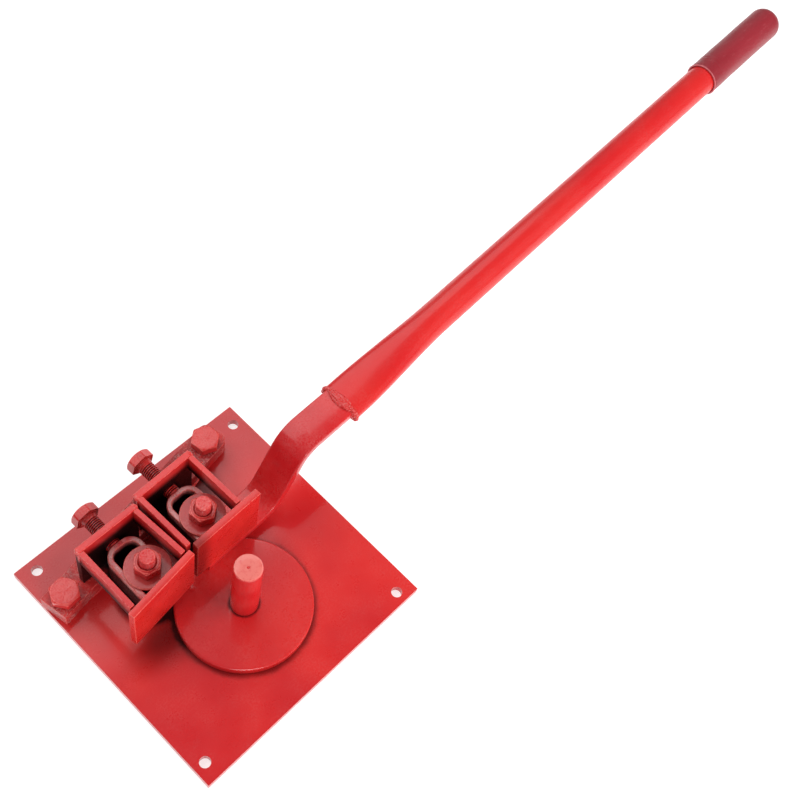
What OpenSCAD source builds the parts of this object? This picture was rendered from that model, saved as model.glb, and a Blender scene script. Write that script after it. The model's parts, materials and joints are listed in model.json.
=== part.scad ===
// Hand-operated rebar bender, bench mounted.
// Origin: the turning axis of the lever, on the underside of the base plate.
// +X runs along the lever at rest, +Y goes from the former pin to the adjusting screws, +Z is up.
// Lengths are in millimetres. The lever is drawn at rest, with both jaws drawn back.

/* [Base plate] */
// Side of the square base plate
plate_side = 250; // [220:1:320]
// Thickness of the base plate
plate_thick = 8; // [6:0.5:12]
// How far the centre of the plate lies behind the turning axis
plate_back = 31; // [20:1:45]
// Bench hole diameter, for M10 studs or coach screws
bench_hole = 10; // [8:0.5:13]
// Bench hole centre to plate edge
bench_inset = 13.5; // [12:0.5:25]
// Turn of the hole pattern on the plate, as drilled, degrees
bench_turn = -1.45; // [-2:0.05:2]

/* [Former pin and turntable] */
// Former pin diameter, the inside of the bend
pin_d = 25; // [16:0.5:30]
// Height of the pin top above the underside of the plate
pin_top = 98; // [92:1:120]
// Turntable diameter
disc_d = 122; // [110:1:130]
// Turntable thickness
disc_thick = 8; // [6:0.5:12]

/* [Jaws] */
// Height of both jaw plates
jaw_high = 65; // [60:1:80]
// Length of both jaw plates
jaw_long = 72; // [64:1:80]
// Thickness of both jaw plates
jaw_thick = 6.5; // [5:0.5:9]
// Twist of the fixed-side jaw plate about the vertical, as welded
jaw_twist = 7; // [0:0.5:8]
// Play of the clamp stud on each side, inside the slotted strap
slot_play = 5; // [4.5:0.5:8]
// Thickness of the slotted strap
strap_thick = 5; // [4:0.5:6]
// Free travel of each jaw towards the pin
jaw_travel = 18; // [10:1:18]
// Thickness of the side strips
strip_thick = 5; // [3:0.5:6]

/* [Screws] */
// Adjusting screw and clamp stud diameter
screw_d = 14; // [10:1:16]
// Across flats of the adjusting screw heads and clamp nuts
screw_af = 22; // [18:1:26]
// Clamp washer diameter
washer_d = 40; // [34:1:48]
// Bolt diameter of the backing bar
bar_bolt_d = 16; // [12:1:18]
// Across flats of the backing bar bolts
bar_bolt_af = 24; // [19:1:27]

/* [Backing bar] */
// Width of the backing bar
bar_wide = 28; // [26:1:34]

/* [Lever] */
// Width of the flat lever bar
flat_wide = 33; // [30:1:40]
// Thickness of the flat lever bar
flat_thick = 9; // [7:0.5:12]
// Slope of the joggle in the flat bar, degrees
joggle_slope = 63; // [50:1:70]
// Height of the joggle, lower face to lower face
joggle_rise = 66; // [60:1:90]
// Outside diameter of the handle tube
tube_d = 31.3; // [28:0.1:34]
// Wall of the handle tube
tube_wall = 2.75; // [2:0.05:4]
// Length of the handle tube, weld to end
tube_long = 677; // [400:1:900]
// Upward slope of the handle tube, degrees
tube_slope = 3.46; // [0:0.02:6]
// Length of the grip sleeve
grip_long = 130; // [90:1:180]
// Wall of the grip sleeve
grip_wall = 2.85; // [2:0.05:5]

/* [Hidden] */
// Angle of the lever and its jaw frame to X, and of the backing bar
lever_yaw = 1.44;
bar_yaw = 9.5;
// Running gaps: flat faces, and radial at round fits
gap = 0.2;
fit = 0.05;
// Heights above the underside of the plate. The backing bar brings the fixed jaw
// frame to the height of the swinging one, which passes over the bar.
disc_lift = 1;
thrust_thick = disc_lift - 0.1;
disc_z = plate_thick + disc_lift;
flat_z = disc_z + disc_thick;
seat_r = flat_z + flat_thick;
seat_step = 1;
seat_l = seat_r - seat_step;
bar_thick = seat_l - plate_thick;
deck_thick = 6;
deck_front = 15;
back_thick = 6;
// The pin's spigot goes through the turntable and the plate, and its shoulder
// keeps the turntable down.
spigot_d = pin_d - 2;
// Jaw plates: front face, and the end next to the other jaw
jaw_y_l = 40.2;
jaw_x_l = -21.7;
jaw_y_r = 42.5;
jaw_x_r = -15.7;
// Rear face of the fixed-side jaw plate at a given x
function jaw_rear(x) = jaw_y_l + (x - jaw_x_l) * tan(jaw_twist) + jaw_thick / cos(jaw_twist);
// Clamp studs, each one washer radius and a clearance behind its jaw plate, and how
// far they stand above their nuts
stud_clear_l = 1.9;
stud_clear_r = 0.6;
stud_x_l = -51.5;
stud_y_l = jaw_rear(stud_x_l) + washer_d / 2 + stud_clear_l;
stud_x_r = 15.3;
stud_y_r = jaw_y_r + jaw_thick + washer_d / 2 + stud_clear_r;
stud_proud = 11.5;
stud_chamfer = 1.2;
// Slotted straps: width, centre, and rear face behind the stud at full travel, with
// some room to spare
strap_spare_l = 5;
strap_spare_r = 2.9;
strap_wide = screw_d + 2 * slot_play + 2 * strap_thick;
strap_r = 13;
strap_high = 32.4;
strap_x_l = -55.2;
strap_y_l = stud_y_l + screw_d / 2 + jaw_travel + strap_spare_l + strap_thick;
strap_x_r = 13.5;
strap_y_r = stud_y_r + screw_d / 2 + jaw_travel + strap_spare_r + strap_thick;
washer_thick = 3;
nut_thick = 12;
washer_z = deck_thick + strap_high + 2 * gap;
// Frames: width, ends, and the front faces of the back plates, clear of the straps
frame_wide = 61.3;
back_clear_l = 3;
back_clear_r = 6.5;
back_x1_l = -29.1;
back_x0_l = back_x1_l - frame_wide;
back_y_l = strap_y_l + back_clear_l;
back_x0_r = -21.7;
back_x1_r = back_x0_r + frame_wide;
back_y_r = strap_y_r + back_clear_r;
// Block under the fixed deck: how far it reaches in front of the stud
support_front = 3;
// Side strips: from just above the clamp washers to the top, and just behind the jaws
strip_over = 2.2;
strip_high = jaw_high - washer_z - washer_thick - strip_over;
strip_turn = 4;
strip_clear = 1;
// Adjusting screws: height above the seat, head thickness, and underside of the head,
// which stays clear of the back plate when the jaw is right forward
screw_drop = 0.1;
screw_z = deck_thick + strap_high - screw_d / 2 - screw_drop;
head_spare_l = 8;
head_spare_r = 9.5;
screw_x_l = -57;
screw_x_r = 13.5;
head_thick = 9;
head_y_l = back_y_l + back_thick + jaw_travel + head_spare_l;
head_y_r = back_y_r + back_thick + jaw_travel + head_spare_r;
// Backing bar: its bolts, and what it has beyond them. It lies near the rear edge of
// the plate, and on a larger plate it stays under the fixed back plate.
bolt_left_in = 16.5;
bolt_right_in = 49.1;
bolt_rear_in = 50.7;
bar_behind = 5.35;
bolt_lx = bolt_left_in - plate_side / 2;
bolt_ly = min(plate_back + plate_side / 2 - bolt_rear_in,
  back_y_l + bar_behind + (bolt_lx - back_x0_l) * tan(bar_yaw));
bolt_span = (plate_side - bolt_left_in - bolt_right_in) / cos(bar_yaw);
bolt_head = 10;
bar_left = 15;
bar_right = 17;
bar_round = 8;
// Front edge of the backing bar at a given x
function bar_front(x) = bolt_ly + (x - bolt_lx) * tan(bar_yaw) - bar_wide / 2 / cos(bar_yaw);
// Flat bar: front edge, left end, start of the first bend just past the jaw, radius
flat_y = jaw_y_r;
flat_x0 = -1;
bend_clear = 8.7;
bend_x = jaw_x_r + jaw_long + bend_clear;
bend_r = 25;
bend_steps = 16;
flat_end = 185;
// Handle tube: start of its axis, a little off the middle of the bar, and its
// pressed mouth, which is wider than the bar
tube_x = 172;
tube_off = 0.4;
tube_lift = 2.4;
tube_y = flat_y + flat_wide / 2 - tube_off;
tube_z = flat_z + flat_thick / 2 + joggle_rise + tube_lift;
mouth_full = 30;
mouth_long = 120;
mouth_over = 8.6;
mouth_wide = (flat_wide + mouth_over) / tube_d;
mouth_flat = 0.52;
weld_r = 3;
// Grip: thickness of its closed end, and the rounding there
grip_end = 8;
grip_round = 9;
eps = 1;
$fn = 64;

// Which piece to build

// ---- shared shapes ----

// Everything that turns with the lever is drawn square to X and then yawed.
module on_lever() {
  rotate([0, 0, lever_yaw]) children();
}

// Hexagon prism with the top corners turned off at 30 degrees, standing on z = 0.
module hex_piece(af, high) {
  rc = af / 2 / cos(30);
  intersection() {
    cylinder(r = rc, h = high, $fn = 6);
    rotate_extrude()
      polygon([[0, 0], [rc + 1, 0], [rc + 1, high - (rc + 1 - af * 0.48) * tan(30)],
        [af * 0.48, high], [0, high]]);
  }
}

// Headed bolt: shank down from z = 0, head up.
module headed_bolt(d, long, af, head) {
  hex_piece(af, head);
  translate([0, 0, -long]) {
    translate([0, 0, 1]) cylinder(d = d, h = long - 1);
    cylinder(d1 = d - 2, d2 = d, h = 1);
  }
}

// Outline of the strap seen from above: rear corners rounded, front open-ended.
module strap_outline(wide, front, rear, r) {
  translate([-wide / 2, front]) square([wide, rear - r - front]);
  translate([-wide / 2 + r, rear - r - eps]) square([wide - 2 * r, r + eps]);
  for (s = [-1, 1]) translate([s * (wide / 2 - r), rear - r]) circle(r = r);
}

module strap_bar(front, rear, high) {
  linear_extrude(high) difference() {
    strap_outline(strap_wide, front, rear, strap_r);
    strap_outline(strap_wide - 2 * strap_thick, front - eps, rear - strap_thick,
      strap_r - strap_thick);
  }
}

module back_plate(x0, x1, y, z, hole_x) {
  difference() {
    translate([x0, y, z]) cube([x1 - x0, back_thick, jaw_high]);
    translate([hole_x, y - eps, z + screw_z]) rotate([-90, 0, 0])
      cylinder(d = screw_d + 2 * fit, h = back_thick + 2 * eps);
  }
}

module washer_piece() {
  difference() {
    cylinder(d = washer_d, h = washer_thick);
    translate([0, 0, -eps]) cylinder(d = screw_d + 1, h = washer_thick + 2 * eps);
  }
}

module nut_piece() {
  difference() {
    hex_piece(screw_af, nut_thick);
    translate([0, 0, -eps]) cylinder(d = screw_d + 2 * fit, h = nut_thick + 2 * eps);
  }
}

module stud_piece() {
  straight = washer_z + washer_thick + gap + nut_thick + stud_proud - stud_chamfer;
  cylinder(d = screw_d, h = straight);
  translate([0, 0, straight])
    cylinder(d1 = screw_d, d2 = screw_d - 2 * stud_chamfer, h = stud_chamfer);
}

// Deck under a strap, from in front of the stud to the back plate.
module deck_piece(x, y1, sx, sy) {
  half = strap_wide / 2 + 1;
  y0 = sy - deck_front;
  difference() {
    translate([x - half, y0, 0]) cube([2 * half, y1 - y0, deck_thick]);
    translate([sx, sy, -eps]) cylinder(d = screw_d, h = deck_thick + 2 * eps);
  }
}

// ---- base ----

module base_plate() {
  color("firebrick") difference() {
    translate([-plate_side / 2, plate_back - plate_side / 2, 0])
      cube([plate_side, plate_side, plate_thick]);
    for (a = [0:90:270])
      translate([0, plate_back, -eps]) rotate([0, 0, a + bench_turn])
        translate([plate_side / 2 - bench_inset, plate_side / 2 - bench_inset, 0])
          cylinder(d = bench_hole, h = plate_thick + 2 * eps);
    translate([0, 0, -eps]) cylinder(d = spigot_d, h = plate_thick + 2 * eps);
    for (i = [0, 1]) at_bar_bolt(i)
      translate([0, 0, -eps]) cylinder(d = bar_bolt_d, h = plate_thick + 2 * eps);
  }
}

module at_bar_bolt(i) {
  translate([bolt_lx, bolt_ly, 0]) rotate([0, 0, bar_yaw])
    translate([i * bolt_span, 0, 0]) children();
}

module backing_bar() {
  color("indianred") difference() {
    translate([bolt_lx, bolt_ly, plate_thick]) rotate([0, 0, bar_yaw]) union() {
      end = bolt_span + bar_right;
      translate([-bar_left, -bar_wide / 2, 0])
        cube([end - bar_round + bar_left, bar_wide, bar_thick]);
      translate([end - bar_round - eps, -bar_wide / 2 + bar_round, 0])
        cube([bar_round + eps, bar_wide - 2 * bar_round, bar_thick]);
      for (s = [-1, 1]) translate([end - bar_round, s * (bar_wide / 2 - bar_round), 0])
        cylinder(r = bar_round, h = bar_thick);
    }
    for (i = [0, 1]) at_bar_bolt(i)
      translate([0, 0, plate_thick - eps])
        cylinder(d = bar_bolt_d + 1, h = bar_thick + 2 * eps);
  }
}

module bar_bolt(i) {
  at_bar_bolt(i) translate([0, 0, seat_l]) rotate([0, 0, i == 0 ? 34 : 8])
    headed_bolt(bar_bolt_d, seat_l, bar_bolt_af, bolt_head);
}

module bar_bolt_left() { color("tomato") bar_bolt(0); }

module bar_bolt_right() { color("tomato") bar_bolt(1); }

module former_pin() {
  shoulder = flat_z + gap;
  color("orangered") rotate_extrude()
    polygon([[0, 0], [spigot_d / 2, 0], [spigot_d / 2, shoulder], [pin_d / 2, shoulder],
      [pin_d / 2, pin_top - 1.2], [pin_d / 2 - 1.2, pin_top], [0, pin_top]]);
}

module thrust_washer() {
  color("silver") translate([0, 0, plate_thick]) difference() {
    cylinder(d = disc_d / 2, h = thrust_thick);
    translate([0, 0, -eps]) cylinder(d = spigot_d + 1, h = thrust_thick + 2 * eps);
  }
}

// ---- fixed jaw frame, on the backing bar ----

module left_support() {
  wide = strap_wide + 2;
  x = strap_x_l - wide / 2;
  y = stud_y_l - support_front;
  color("brown") difference() {
    translate([x, y, plate_thick]) cube([wide, bar_front(x) - y - 1, bar_thick]);
    cylinder(r = disc_d / 2 + 1, h = flat_z + gap);
  }
}

module left_deck() {
  color("maroon") translate([0, 0, seat_l])
    deck_piece(strap_x_l, back_y_l, stud_x_l, stud_y_l);
}

module left_back_plate() {
  color("crimson") back_plate(back_x0_l, back_x1_l, back_y_l, seat_l, screw_x_l);
}

module left_outer_strip() {
  front = jaw_rear(back_x0_l + strip_thick) + strip_clear;
  color("red") translate([back_x0_l, front, seat_l + jaw_high - strip_high])
    cube([strip_thick, back_y_l - front, strip_high]);
}

module left_inner_strip() {
  long = back_y_l - jaw_rear(back_x1_l + strip_thick) - strip_clear;
  color("red") difference() {
    translate([back_x1_l - strip_thick, back_y_l, seat_l + jaw_high - strip_high])
      rotate([0, 0, strip_turn]) translate([0, -long, 0])
        cube([strip_thick, long + eps, strip_high]);
    translate([back_x0_l, back_y_l, seat_l]) cube([2 * frame_wide, 2 * back_thick, 2 * jaw_high]);
  }
}

module left_stud() {
  color("goldenrod") translate([stud_x_l, stud_y_l, seat_l]) stud_piece();
}

module left_washer() {
  color("orange")
    translate([stud_x_l, stud_y_l, seat_l + washer_z]) washer_piece();
}

module left_nut() {
  color("gold")
    translate([stud_x_l, stud_y_l, seat_l + washer_z + washer_thick + gap])
      rotate([0, 0, 17]) nut_piece();
}

// Frame of the fixed-side jaw plate: x = 0 at its inner end, y = 0 on its pin side.
module at_left_jaw() {
  translate([jaw_x_l, jaw_y_l, seat_l]) rotate([0, 0, jaw_twist]) children();
}

module left_jaw() {
  color("orangered") at_left_jaw() translate([-jaw_long, 0, gap])
    cube([jaw_long, jaw_thick, jaw_high - gap]);
}

module left_strap() {
  color("lightcoral") difference() {
    translate([strap_x_l, 0, seat_l + deck_thick + gap])
      strap_bar(30, strap_y_l, strap_high);
    at_left_jaw() translate([-2 * jaw_long, -jaw_long, -eps])
      cube([3 * jaw_long, jaw_long + jaw_thick, 2 * jaw_high]);
  }
}

module screw_piece(x, tip, under, z) {
  translate([x, under, z]) rotate([-90, 0, 0]) rotate([0, 0, 12])
    headed_bolt(screw_d, under - tip, screw_af, head_thick);
}

module left_screw() {
  color("khaki") screw_piece(screw_x_l, strap_y_l + gap, head_y_l, seat_l + screw_z);
}

// ---- turntable and lever ----

module turntable() {
  color("salmon") translate([0, 0, disc_z]) rotate_extrude($fn = 96) difference() {
    union() {
      square([disc_d / 2 - 2, disc_thick]);
      square([disc_d / 2, disc_thick - 2]);
      translate([disc_d / 2 - 2, disc_thick - 2]) circle(r = 2, $fn = 24);
    }
    translate([-eps, -eps]) square([spigot_d / 2 + fit + eps, disc_thick + 2 * eps]);
  }
}

// Side view of the flat bar: x along the lever, y up.
bend_long = (joggle_rise - 2 * bend_r * (1 - cos(joggle_slope))) / sin(joggle_slope);
bend_run = 2 * bend_r * sin(joggle_slope) + bend_long * cos(joggle_slope);
mid_z = flat_z + flat_thick / 2;

// Points of an arc about [x, y], from angle a0 to a1.
function arc(x, y, r, a0, a1) =
  [for (i = [0:bend_steps]) let (a = a0 + (a1 - a0) * i / bend_steps)
    [x + r * cos(a), y + r * sin(a)]];

// One outline: along the lower face, round both bends, and back along the upper face.
module flat_side_view() {
  h = flat_thick / 2;
  x2 = bend_x + bend_run;
  low_y = mid_z + bend_r;
  high_y = mid_z + joggle_rise - bend_r;
  polygon(concat(
    [[flat_x0, mid_z - h]],
    arc(bend_x, low_y, bend_r + h, -90, joggle_slope - 90),
    arc(x2, high_y, bend_r - h, joggle_slope + 90, 90),
    [[flat_end, mid_z + joggle_rise - h], [flat_end, mid_z + joggle_rise + h]],
    arc(x2, high_y, bend_r + h, 90, joggle_slope + 90),
    arc(bend_x, low_y, bend_r - h, joggle_slope - 90, -90),
    [[flat_x0, mid_z + h]]));
}

module lever_flat_solid() {
  translate([0, flat_y + flat_wide, 0]) rotate([90, 0, 0])
    linear_extrude(flat_wide) flat_side_view();
}

module lever_flat() {
  color("sienna") on_lever() difference() {
    lever_flat_solid();
    translate([stud_x_r, stud_y_r, flat_z - eps])
      cylinder(d = screw_d, h = flat_thick + 2 * eps);
  }
}

// Along the handle: z is the tube axis, starting at the weld.
module at_tube() {
  on_lever() translate([tube_x, tube_y, tube_z])
    rotate([0, 90 - tube_slope, 0]) children();
}

// What is drawn round becomes the pressed oval of the mouth.
module pressed() {
  scale([mouth_flat, mouth_wide, 1]) children();
}

// A round of diameter d, pressed oval up to mouth_full and true again at mouth_long.
module pressed_mouth(d) {
  hull() {
    pressed() cylinder(d = d, h = mouth_full, $fn = 48);
    translate([0, 0, mouth_long]) cylinder(d = d, h = 0.01, $fn = 48);
  }
}

module upper_flat_block() {
  on_lever() translate([120, flat_y, mid_z + joggle_rise - flat_thick / 2])
    cube([flat_end - 120, flat_wide, flat_thick]);
}

module handle_tube() {
  inner_d = tube_d - 2 * tube_wall;
  color("red") difference() {
    at_tube() {
      pressed_mouth(tube_d);
      translate([0, 0, mouth_long]) cylinder(d = tube_d, h = tube_long - mouth_long);
    }
    at_tube() {
      pressed_mouth(inner_d);
      translate([0, 0, -eps]) pressed() cylinder(d = inner_d, h = 2 * eps, $fn = 48);
      translate([0, 0, mouth_long - eps])
        cylinder(d = inner_d, h = tube_long - mouth_long + 2 * eps);
    }
    upper_flat_block();
  }
}

// Weld bead round the mouth of the tube, a half round ring against its end.
module tube_weld() {
  color("darkred") difference() {
    at_tube() pressed()
      rotate_extrude() intersection() {
        translate([tube_d / 2 - weld_r / 2, -0.01]) circle(r = weld_r, $fn = 16);
        translate([0, -10]) square([tube_d, 9.98]);
      }
    upper_flat_block();
  }
}

// Sleeve with a closed, rounded end, pushed on until its end meets the tube.
module handle_grip() {
  r = tube_d / 2 + grip_wall;
  color("mediumvioletred") at_tube() translate([0, 0, tube_long + grip_end - grip_long])
    rotate_extrude() difference() {
      union() {
        square([r, grip_long - grip_round]);
        square([r - grip_round, grip_long]);
        translate([r - grip_round, grip_long - grip_round]) circle(r = grip_round);
      }
      translate([-eps, -eps]) square([tube_d / 2 + eps, grip_long - grip_end + eps]);
    }
}

// ---- swinging jaw frame, on the lever ----

module right_deck() {
  color("maroon") on_lever() translate([0, 0, seat_r])
    deck_piece(strap_x_r, back_y_r, stud_x_r, stud_y_r);
}

module right_back_plate() {
  color("crimson") on_lever()
    back_plate(back_x0_r, back_x1_r, back_y_r, seat_r, screw_x_r);
}

module right_strip(x) {
  front = jaw_y_r + jaw_thick + strip_clear;
  color("red") on_lever() translate([x, front, seat_r + jaw_high - strip_high])
    cube([strip_thick, back_y_r - front, strip_high]);
}

module right_inner_strip() { right_strip(back_x0_r); }

module right_outer_strip() { right_strip(back_x1_r - strip_thick); }

module right_stud() {
  color("goldenrod") on_lever() {
    translate([stud_x_r, stud_y_r, seat_r]) stud_piece();
    translate([stud_x_r, stud_y_r, flat_z]) cylinder(d = screw_d, h = flat_thick);
  }
}

module right_washer() {
  color("orange") on_lever()
    translate([stud_x_r, stud_y_r, seat_r + washer_z]) washer_piece();
}

module right_nut() {
  color("gold") on_lever()
    translate([stud_x_r, stud_y_r, seat_r + washer_z + washer_thick + gap])
      rotate([0, 0, 5]) nut_piece();
}

module right_jaw() {
  color("orangered") on_lever()
    translate([jaw_x_r, jaw_y_r, seat_r + gap])
      cube([jaw_long, jaw_thick, jaw_high - gap]);
}

module right_strap() {
  color("lightcoral") on_lever()
    translate([strap_x_r, 0, seat_r + deck_thick + gap])
      strap_bar(jaw_y_r + jaw_thick, strap_y_r, strap_high);
}

module right_screw() {
  color("khaki") on_lever()
    screw_piece(screw_x_r, strap_y_r + gap, head_y_r, seat_r + screw_z);
}

base_plate();
backing_bar();
bar_bolt_left();
bar_bolt_right();
former_pin();
thrust_washer();
left_support();
left_deck();
left_back_plate();
left_outer_strip();
left_inner_strip();
left_stud();
left_washer();
left_nut();
left_jaw();
left_strap();
left_screw();
turntable();
lever_flat();
handle_tube();
tube_weld();
handle_grip();
right_deck();
right_back_plate();
right_inner_strip();
right_outer_strip();
right_stud();
right_washer();
right_nut();
right_jaw();
right_strap();
right_screw();
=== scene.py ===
# %% [markdown]
# # A hand rebar bender in red enamel
# A square steel plate carries a former pin, a turntable with a long tubular lever, and
# two adjustable jaws. The real tool is cut, bent, welded and then sprayed all over with
# one red enamel, so almost everything here is shape plus one paint in many states.
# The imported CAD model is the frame: every finished piece is built on its places, in metres.
# %% Load the frame
import json
import math
import random

import bmesh
import bpy
from mathutils import Matrix, Vector, noise


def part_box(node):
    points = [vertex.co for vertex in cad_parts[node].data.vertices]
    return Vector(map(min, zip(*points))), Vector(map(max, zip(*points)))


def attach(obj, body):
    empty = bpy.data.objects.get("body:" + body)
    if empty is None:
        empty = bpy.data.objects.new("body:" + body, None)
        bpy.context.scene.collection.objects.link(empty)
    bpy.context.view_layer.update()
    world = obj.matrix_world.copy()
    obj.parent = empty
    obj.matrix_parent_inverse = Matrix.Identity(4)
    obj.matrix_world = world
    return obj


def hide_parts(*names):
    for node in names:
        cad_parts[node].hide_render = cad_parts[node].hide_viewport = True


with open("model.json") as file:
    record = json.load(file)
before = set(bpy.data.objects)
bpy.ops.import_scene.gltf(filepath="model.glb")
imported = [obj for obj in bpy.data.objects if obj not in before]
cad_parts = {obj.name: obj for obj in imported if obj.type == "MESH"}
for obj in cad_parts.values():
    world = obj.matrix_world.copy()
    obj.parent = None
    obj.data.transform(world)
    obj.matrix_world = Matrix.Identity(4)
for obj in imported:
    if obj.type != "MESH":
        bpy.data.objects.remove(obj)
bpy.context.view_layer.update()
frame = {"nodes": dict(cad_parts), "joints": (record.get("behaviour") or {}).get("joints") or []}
MM = 0.001
random.seed(14)

# %% [markdown]
# Parts of this tool are turned a little from square: the lever slightly, and the backing
# bar by more. A turned frame per group lets each piece be built square and then turned.
# The lever's turn is read from its jaw's sliding axis, so the pieces follow the CAD if
# it changes. Each side has its body and its frame.
# %% Turned frames and boxes
axis_of = {j["name"]: Vector(j["axis"]) for j in frame["joints"]}
slide = axis_of["right_jaw_slide"]
SQUARE = Matrix.Identity(4)
LEVER = Matrix.Rotation(math.atan2(slide.x, -slide.y), 4, "Z")
BAR = Matrix.Rotation(math.radians(9.5), 4, "Z")
SIDES = (("left", "base", SQUARE), ("right", "lever", LEVER))


def box_in(node, turned):
    """Lowest and highest corner of a CAD node, measured in a turned frame."""
    back = turned.inverted()
    points = [back @ v.co for v in frame["nodes"][node].data.vertices]
    return (Vector([min(p[i] for p in points) for i in range(3)]),
            Vector([max(p[i] for p in points) for i in range(3)]))


def middle_of(node, turned=SQUARE):
    lo, hi = box_in(node, turned)
    return (lo + hi) / 2


print("lever turned by", round(math.degrees(LEVER.to_euler().z), 2), "degrees")

# %% [markdown]
# The view looks down on the bench from the front left corner, steeply. A camera is
# placed by where it stands, what it looks at and how far it leans. The lean is a turn
# about the line of sight.
# %% Camera
STAND = Vector((-0.29114, -0.25438, 1.05799))
AIM = Vector((0.258132, 0.054882, 0.0))
LEAN = math.radians(16.792)

sight = (AIM - STAND).normalized()
level = sight.cross(Vector((0, 0, 1))).normalized()
right = math.cos(LEAN) * level + math.sin(LEAN) * level.cross(sight)
up = right.cross(sight)
eye = bpy.data.cameras.new("eye")
eye.lens = 56.25
eye.sensor_width = 36
eye.clip_start = 0.02
camera = bpy.data.objects.new("camera", eye)
turn = Matrix((right, up, -sight)).transposed().to_4x4()
camera.matrix_world = Matrix.Translation(STAND) @ turn
bpy.context.scene.collection.objects.link(camera)
bpy.context.scene.camera = camera
bpy.context.scene.view_settings.view_transform = "Standard"
print("camera stands", round((AIM - STAND).length, 3), "m from its aim")

# %% [markdown]
# Shader maths reads best as plain arithmetic. This class holds one output socket of a
# node tree. Adding or multiplying two of them adds the Math node that does it, and any
# other node comes from one method, so a material is a few lines of expressions.
# %% Shader arithmetic
MIX_FACTOR, MIX_A, MIX_B, MIX_RESULT = 0, 6, 7, 2


class Shade:
    """One socket of a material's node tree, ready for arithmetic."""

    def __init__(self, tree, socket=None):
        self.tree = tree
        self.socket = socket

    def node(self, kind, settings=None, inputs=None, output=0):
        made = self.tree.nodes.new(kind)
        for name, value in (settings or {}).items():
            setattr(made, name, value)
        for name, value in (inputs or {}).items():
            if isinstance(value, Shade):
                self.tree.links.new(value.socket, made.inputs[name])
            else:
                made.inputs[name].default_value = value
        return Shade(self.tree, made.outputs[output] if made.outputs else None)

    def math(self, operation, first, second):
        return self.node("ShaderNodeMath", {"operation": operation}, {0: first, 1: second})

    def __add__(self, other):
        return self.math("ADD", self, other)

    def __sub__(self, other):
        return self.math("SUBTRACT", self, other)

    def __rsub__(self, other):
        return self.math("SUBTRACT", other, self)

    def __mul__(self, other):
        return self.math("MULTIPLY", self, other)

    __radd__, __rmul__ = __add__, __mul__

    def lesser(self, other):
        return self.math("MINIMUM", self, other)

    def surface(self, inputs):
        """Principled shader with these inputs, joined to the material's output."""
        shader = self.node("ShaderNodeBsdfPrincipled", {}, inputs)
        self.node("ShaderNodeOutputMaterial", {}, {"Surface": shader})

    def ramp(self, low, high):
        """0 below low and 1 above high, with a smooth step between."""
        return self.node("ShaderNodeMapRange", {"interpolation_type": "SMOOTHSTEP"},
                         {"Value": self, "From Min": low, "From Max": high})

    def blend(self, under, over):
        """Colour under where this is 0 and over where it is 1."""
        return self.node("ShaderNodeMix", {"data_type": "RGBA"},
                         {MIX_FACTOR: self, MIX_A: under, MIX_B: over}, MIX_RESULT)


def start_material(name):
    material = bpy.data.materials.new(name)
    material.use_nodes = True
    material.node_tree.nodes.clear()
    return material, Shade(material.node_tree)


print("shader arithmetic ready")

# %% [markdown]
# Paint is never even. Cloudy noise a few centimetres across changes its tone, grain a
# millimetre across gives orange peel, and finer grain gives dust nibs. Each size is
# given in metres, and turned into the noise scale here. The noise is laid out in object
# coordinates, so it keeps still when a body moves.
# %% Noise at a real size
def grain(shade, size, detail=2.0, rough=0.5, stretch=(1, 1, 1)):
    place = shade.node("ShaderNodeTexCoord", output="Object")
    if stretch != (1, 1, 1):
        place = shade.node("ShaderNodeVectorMath", {"operation": "MULTIPLY"},
                           {0: place, 1: stretch})
    return shade.node("ShaderNodeTexNoise", {}, {
        "Vector": place, "Scale": 1 / size, "Detail": detail, "Roughness": rough})


def height_above(shade, z, reach):
    """0 at height z and below, 1 at z + reach and above."""
    place = shade.node("ShaderNodeTexCoord", output="Object")
    return shade.node("ShaderNodeSeparateXYZ", {}, {0: place}, "Z").ramp(z, z + reach)


print("noise at a real size ready")

# %% [markdown]
# The enamel is a saturated red with a clear gloss. What varies from piece to piece is
# how much pale dust and overspray lies on it, which also stands in for a painted sheen,
# how rough the steel below is, and how light the rims are: worn thin paint with a painted
# highlight. A vertex attribute named rim marks those edges on each mesh, and is negative
# in grooves, which it darkens as painted shade. A near black is painted shade in wells and
# under parts, and also fills rust pits.
# %% Red enamel
# Near black serves rust pits and painted shade; chalk serves dust and a painted sheen; rim pink
# serves worn rims and painted highlights.
RED = (0.55, 0.012, 0.015, 1)
BRIGHT = (0.67, 0.019, 0.017, 1)
DEEP = (0.36, 0.003, 0.008, 1)
PIT_AND_SHADE_BLACK = (0.006, 0.0012, 0.0015, 1)
CHALK_AND_SHEEN = (0.80, 0.40, 0.37, 1)
RIM_PINK = (0.86, 0.17, 0.14, 1)


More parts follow.
